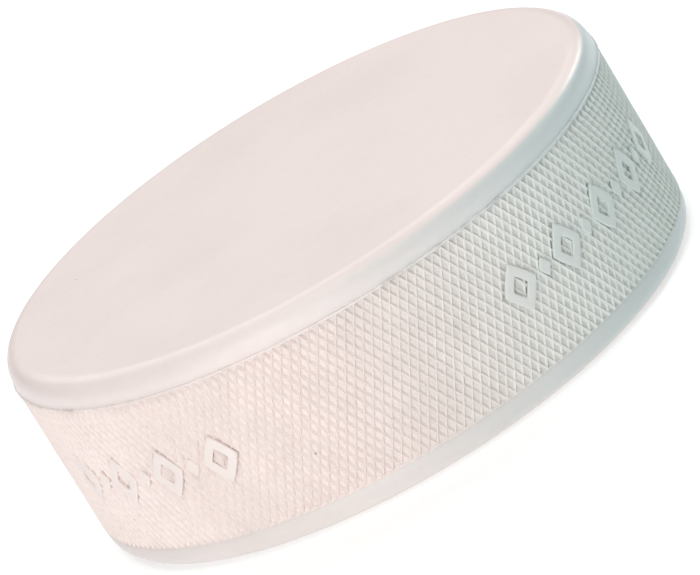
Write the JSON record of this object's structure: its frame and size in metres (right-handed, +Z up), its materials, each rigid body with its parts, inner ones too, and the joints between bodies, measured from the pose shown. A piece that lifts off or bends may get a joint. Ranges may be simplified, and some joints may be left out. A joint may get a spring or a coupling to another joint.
{
  "type": "hockey puck",
  "caption": "Solid rubber puck: a flat-faced disc with smooth rounded rims, a diamond-knurled side band, a fine flash line and raised lozenge marks.",
  "frame": {"origin": "centre of the bottom flat face, on the surface that the puck rests on", "axes": "+Z up along the puck's axis, from the bottom face to the top face; the pictured side of the band faces -Y"},
  "size_m": [0.0764, 0.0764, 0.0254],
  "materials": {
    "smooth_rubber": "smooth white vulcanised rubber, satin, faintly pink",
    "knurled_rubber": "the same white rubber with a fine moulded diamond knurl, a little dust in its pits",
    "mark_rubber": "the same white rubber, smooth raised strokes with worn edges"
  },
  "bodies": {
    "root": {"knurled_body": "knurled_rubber", "top_cap": "smooth_rubber", "bottom_cap": "smooth_rubber", "flash_line": "smooth_rubber", "long_mark_row": "mark_rubber", "short_mark_row": "mark_rubber"}
  },
  "joints": []
}
